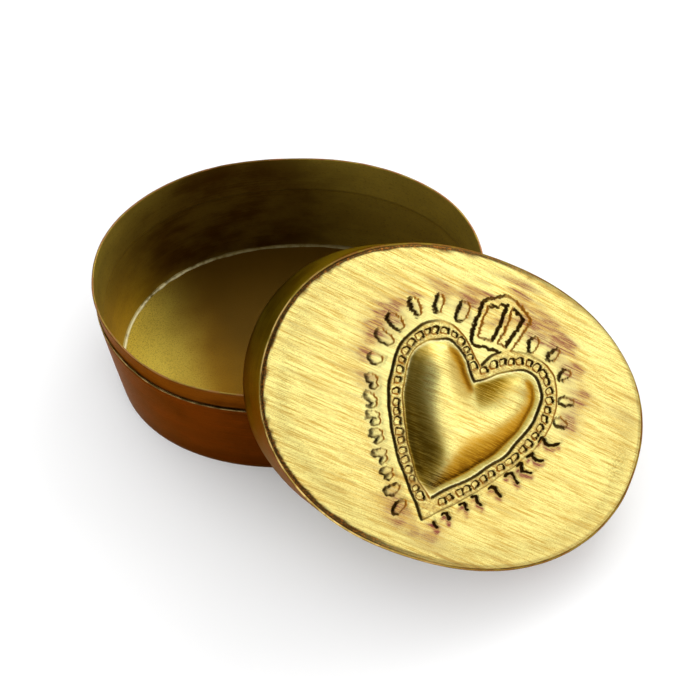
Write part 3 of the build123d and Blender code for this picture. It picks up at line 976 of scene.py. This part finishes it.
def embossed_gold():
    f = Finish(bpy.data.materials.new("embossed_gold_brass"))
    fine = f.noise(BRUSH_TURN, (0.12, 3.6, 0.25), 4.0, 0.8)
    middling = f.noise(BRUSH_TURN, (0.07, 1.6, 0.2), 2.0)
    long = f.noise(BRUSH_TURN, (0.035, 0.75, 0.15))
    cloud = f.noise(LID_TURN, (0.05, 0.07, 0.07), 2.0)
    sand = f.noise(LID_TURN, 4.4, 3.0, 0.75)
    ragged = f.noise(LID_TURN, 1.7, 3.0, 0.65)
    along, across = f.axis(LID_TURN, 0), f.axis(LID_TURN, 1)
    edge, shade_and_glint_side, heavy, pressed = [f.mark(name) for name in ("edge", "shade_and_glint_side", "heavy", "pressed")]

    tan = (0.5 * long + 0.5 * fine).between(0.50, 0.60) * (0.25 + 0.75 * cloud.between(0.4, 0.6))
    gold = f.mix(
        "caa44c",
        (0.85 * fine + 0.15 * middling).between(0.38, 0.58), "fcf49a",
        (0.52 + 0.25 * across.between(-6.0, -32.0)) * tan * (1 - 0.6 * pressed), "a0722c",
        0.6 * sand.between(0.50, 0.68), "8e6a2a",
        0.5 * pressed, "dcd68e",
        # Painted shade that deepens towards the lid's front and right end.
        0.22 * across.between(4.0, -36.0) + 0.14 * along.between(20.0, 70.0), "a8843a",
        0.5 * f.mark("rubbed") * ragged.between(0.45, 0.6), "93742e",
        f.mark("band") * (0.12 + 0.5 * ragged.between(0.44, 0.60)), "94703a",
        0.95 * f.mark("bloom") * (0.25 + 0.75 * fine.between(0.42, 0.56)), "84483a",
        # Painted pale highlight on the heart's lip.
        0.6 * f.mark("lip_highlight"), "f6f0b4",
        # Painted dull shade at the heart's foot.
        0.6 * f.mark("hollow"), "a08c34")

    brushed = 0.45 + 1.1 * fine.between(0.36, 0.62)
    lines = fine.between(0.38, 0.6)
    glow, shade = f.mark("glow") * brushed, f.mark("shade") * brushed
    # Painted light and shade on the heart: amber reflection on the flanks that look right, brown and olive
    # shade on the others, and the deepest shade at the tip.
    gold = f.mix(
        gold,
        0.9 * glow.between(0.0, 0.6), "cc940e",
        glow.between(0.4, 1.4), f.mix("643602", lines, "b0760c"),
        0.85 * shade.between(0.0, 0.6), "a88c2a",
        shade.between(0.2, 1.2), f.mix("4a3002", lines, "8c6a0a"),
        0.75 * f.mark("deepest_shade") * brushed, "341c02",
        # Faint painted shade on the front of the plate's shoulder.
        0.04 * f.mark("shoulder"), "a8802e")

    amber = abs(edge + 0.2 * (ragged - 0.5)) - 0.26 * heavy
    dark = abs(edge + (0.2 + 0.45 * heavy) * (ragged - 0.5) + 0.08) - 0.16 * heavy
    # Edge lines: the amber is a painted reflection on edges that look right, the even brown is patina in the
    # sunk line, and the nearly black is mostly painted shade on the other side.
    gold = f.mix(
        gold,
        0.9 * (1 - amber.between(0.02, 0.36)) * shade_and_glint_side.between(-0.1, -0.5), "a8680e",
        (1 - dark.between(0.02, 0.22)) * (0.2 + 0.4 * heavy), "7a4e14",
        (1 - dark.between(0.12, 0.34)) * (0.06 + 0.86 * shade_and_glint_side.between(0.05, 0.5)),
        f.mix(NEARLY_BLACK, ragged.between(0.45, 0.6), "3e2806"),
        (f.mark("stroke") + 0.4 * (ragged - 0.5)).between(-0.14, 0.08), NEARLY_BLACK,
        0.95 * f.mark("groove"), f.mix("3c200a", ragged.between(0.5, 0.6), "8a4e18"))
    f.metal(gold, 0.30 + 0.12 * fine, 0.7 * fine + 0.5 * long + 0.5 * sand, 0.07)
    return f.owner


lid_face.data.materials.append(embossed_gold())

# %% [markdown]
# ## The aged strips
#
# Outside, the strips are darkened to a red brown, cloudy with faint level streaks, and darker towards the
# foot. The lid's band is brown only along its lower side, and olive elsewhere, where the olive is a painted
# reflection of the box's olive inside. Inside they are olive, with a painted brown shade at the back left of
# the box. The cut edge itself is raw, and a painted highlight makes it brightest at the front left. One
# recipe serves wall, neck and lid band, with a few colours and the strip's own axes as its ingredients.

# %% Aged brass
INSIDE_SHADE_CENTRE = (-18.0, 36.0, 18.0)
GRAZING_RED = (0.82, 0.50, 0.32, 1.0)
DARK_BROWN = "2c1206"


def aged_brass(name, turned, outside, outside_dark, low_side, inside, inside_dark, raw, raw_dull):
    f = Finish(bpy.data.materials.new(name))
    streak = f.noise(turned, (0.03, 0.03, 2.2), 4.0, 0.6)
    broad = f.noise(turned, (0.03, 0.03, 0.12), 2.0)
    fleck = f.noise(turned, (0.3, 0.3, 0.5))
    cloud = f.noise(turned, (0.06, 0.06, 0.09), 5.0, 0.6)
    speck = f.noise(turned, (1.4, 1.4, 2.0), 3.0, 0.7)
    along, across, rise = f.axis(turned, 0), f.axis(turned, 1), f.mark("rise")

    fresh = f.mix(outside, (across + 10 * fleck).between(0.0, -16.0), low_side)
    worn = f.mix(
        outside_dark,
        (0.4 * streak + 0.6 * cloud).between(0.37, 0.60), fresh,
        0.6 * broad.between(0.4, 0.65) * (1 - rise), outside_dark,
        0.35 * speck.between(0.54, 0.68), DARK_BROWN,
        # The strip turns darker towards its foot.
        0.6 * rise.between(0.2, 0.0), DARK_BROWN)

    # Painted brown shade inside, darkest round a point at the back left of the box.
    from_inside_shade = f.node("ShaderNodeVectorMath", {"operation": "DISTANCE"},
                        {0: f.place(UNTURNED), 1: INSIDE_SHADE_CENTRE}, out=1)
    lit = 0.8 * from_inside_shade.between(18.0, 50.0) + 0.2 * (0.8 * cloud + 0.2 * streak).between(0.38, 0.62)
    lining = f.mix(inside_dark, lit, inside, 0.35 * speck.between(0.52, 0.70), inside_dark)

    # Bare metal at the cut edge, with a painted highlight that makes it brightest at the front left.
    bare_and_highlight = f.mix(raw, (along + across).between(-30.0, 10.0), raw_dull)
    raw_edge = f.mark("raw") * (0.25 + 0.75 * fleck.between(0.42, 0.58))
    skin = f.mix(worn, f.mark("inside"), lining, raw_edge, bare_and_highlight)
    f.metal(skin, 0.27 + 0.14 * cloud + 0.10 * speck, 0.6 * streak + 0.6 * speck, 0.05, GRAZING_RED,
            1 - 0.3 * f.mark("inside"))
    return f.owner


for made, *recipe in (
        (box_wall, "aged_brown_brass", UNTURNED, "683a1a", "3e2210", "643214", "ccb64a", "543604", "d8b878",
         "a8803c"),
        (neck_ring, "olive_brass", UNTURNED, "70421c", "482a12", "70421c", "ccb64a", "543606", "a47444",
         "966438"),
        # The lid band's olive outside is a painted reflection of the box's olive inside; its own colour is
        # the red brown of its lower side.
        (lid_skirt, "aged_brown_brass_of_the_lid", LID_TURN, "8c7c24", "605010", "70380e", "a8923a", "6e5812",
         "dcbc70", "7a5424")):
    made.data.materials.append(aged_brass(*recipe))

# %% [markdown]
# ## Floor and solder
#
# The floor was never brushed: it keeps a fine sandy skin. At its left end it is a light gold, which passes
# into a warmer gold and then into brown, and this is a painted shade that deepens towards the right and the
# back. Brown specks lie all over. Solder sets with a pale skin that darkens where the bead is thin, and a
# painted shade darkens it towards the right end of the box.

# %% Gold floor and solder


def sandy_gold():
    f = Finish(bpy.data.materials.new("gold_brass"))
    sand = f.noise(UNTURNED, 3.2, 3.0, 0.8)
    cloud = f.noise(UNTURNED, 0.05, 2.0)
    along, across = f.axis(UNTURNED, 0), f.axis(UNTURNED, 1)
    gold = f.mix(
        "fce866",
        # Painted shade that deepens towards the right and the back of the floor.
        (along + 14 * cloud).between(-40, -12), "a8780c",
        (along + 0.6 * across + 16 * cloud).between(-34, 0), "664802",
        0.6 * sand.between(0.46, 0.70), "6e4a10")
    f.metal(gold, 0.42 + 0.1 * sand, sand, 0.08, share=0.6)
    return f.owner


def poured_solder(name, thin, thick, share):
    f = Finish(bpy.data.materials.new(name))
    lump = f.noise(UNTURNED, 0.5)
    skin = f.mix(thin, (0.6 * lump + 0.4 * f.mark("swell")).between(0.38, 0.62), thick,
                 # Painted shade towards the right end of the box.
                 0.8 * f.axis(UNTURNED, 0).between(-44.0, -18.0), thin)
    f.metal(skin, 0.38 + 0.15 * lump, lump, 0.06, share=share)
    return f.owner


box_floor.data.materials.append(sandy_gold())
floor_seam.data.materials.append(poured_solder("solder_bead", "6e5c24", "f8f0c0", 0.6))
neck_seam.data.materials.append(poured_solder("solder_bead_of_the_neck", "1c1004", "8a6c34", 1.0))
lid_seam.data.materials.append(poured_solder("solder_bead_of_the_lid", "6a5018", "b8a468", 1.0))

# %% [markdown]
# ## The studio
#
# The floor is a wide pale sheet, and the world behind it is white. Metal shows what it reflects, so to glossy
# rays alone the world is white near the horizon, where the backdrop is, and dim overhead, where a studio has
# only its lamps and cards. The lamps are soft panels: a large one that the lid's flat mirrors to the camera,
# and small ones close over the back right and the left, for the inside of the box.

# %% Floor, world and lamps
FLOOR_HALF = 3.0
KEY_PLACE = (46, 32)
CARD_MIDDLE = 0.98
WHITE = (1, 1, 1, 1)


def pale_floor():
    f = Finish(bpy.data.materials.new("pale_floor"))
    speckle = f.noise(UNTURNED, 0.02, 2.0)
    away = f.node("ShaderNodeVectorMath", {"operation": "LENGTH"}, {0: f.place(UNTURNED)}, out=1)
    paper = f.mix("fbfbfb", 0.04 * speckle * (1 - away.between(200.0, 700.0)), "f4f4f4",
                  away.between(200.0, 900.0), "ffffff")
    shader = f.node("ShaderNodeBsdfPrincipled", None,
                    {"Base Color": paper, "Roughness": 0.9, "Specular IOR Level": 0.1})
    f.node("ShaderNodeOutputMaterial", None, {"Surface": shader})
    return f.owner


floor_mesh = bpy.data.meshes.new("studio_floor")
floor_corners = [(x * FLOOR_HALF, y * FLOOR_HALF, 0) for x, y in ((-1, -1), (1, -1), (1, 1), (-1, 1))]
floor_mesh.from_pydata(floor_corners, [], [(0, 1, 2, 3)])
floor_mesh.materials.append(pale_floor())
studio_floor = bpy.data.objects.new("studio_floor", floor_mesh)
bpy.context.scene.collection.objects.link(studio_floor)

sky = bpy.data.worlds.new("studio")
bpy.context.scene.world = sky
w = Finish(sky)
up = w.node("ShaderNodeSeparateXYZ", None, {0: w.node("ShaderNodeTexCoord", out="Generated")}, out=2)
glossy = w.node("ShaderNodeLightPath", out="Is Glossy Ray")
backdrop = 1 - up.between(0.08, 0.32)


def card(azimuth, elevation, start):
    """A large soft card in the mirrored studio: one in its direction, nothing where the cosine of the angle
    between the two directions is less than the start."""
    spot = w.node("ShaderNodeTexCoord", out="Generated")
    near = w.node("ShaderNodeVectorMath", {"operation": "DOT_PRODUCT"},
                  {0: spot, 1: direction(azimuth, elevation)}, out=1)
    return near.between(start, CARD_MIDDLE)


cards = 0.65 * card(*KEY_PLACE, 0.75) + 0.85 * card(108, 26, 0.62) + 0.55 * card(128, 62, 0.72)
mirrored = 0.13 + 0.67 * backdrop + cards * (1 - backdrop)
light = w.node("ShaderNodeBackground", None, {"Color": WHITE, "Strength": 1 - glossy * (1 - mirrored)})
w.node("ShaderNodeOutputWorld", None, {"Surface": light})


def panel(name, azimuth, elevation, away, size, power):
    """A soft square lamp, some way off in a direction from the tin, and turned towards it."""
    lamp = bpy.data.lights.new(name, "AREA")
    lamp.shape, lamp.size, lamp.energy = "SQUARE", size, power
    made = bpy.data.objects.new(name, lamp)
    bpy.context.scene.collection.objects.link(made)
    towards = direction(azimuth, elevation)
    made.location = Vector(LOOK_AT) * MM + away * towards
    made.rotation_euler = towards.to_track_quat("Z", "Y").to_euler()


panel("key", *KEY_PLACE, 0.9, 0.55, 1.15)
panel("over_back", 142, 50, 0.28, 0.16, 0.20)
panel("near_left", 245, 57, 0.25, 0.12, 0.06)
print("studio ready")

# %% [markdown]
# ## Colour
#
# The picture keeps Blender's plain colours.

# %% Colour
bpy.context.scene.view_settings.view_transform = "Standard"
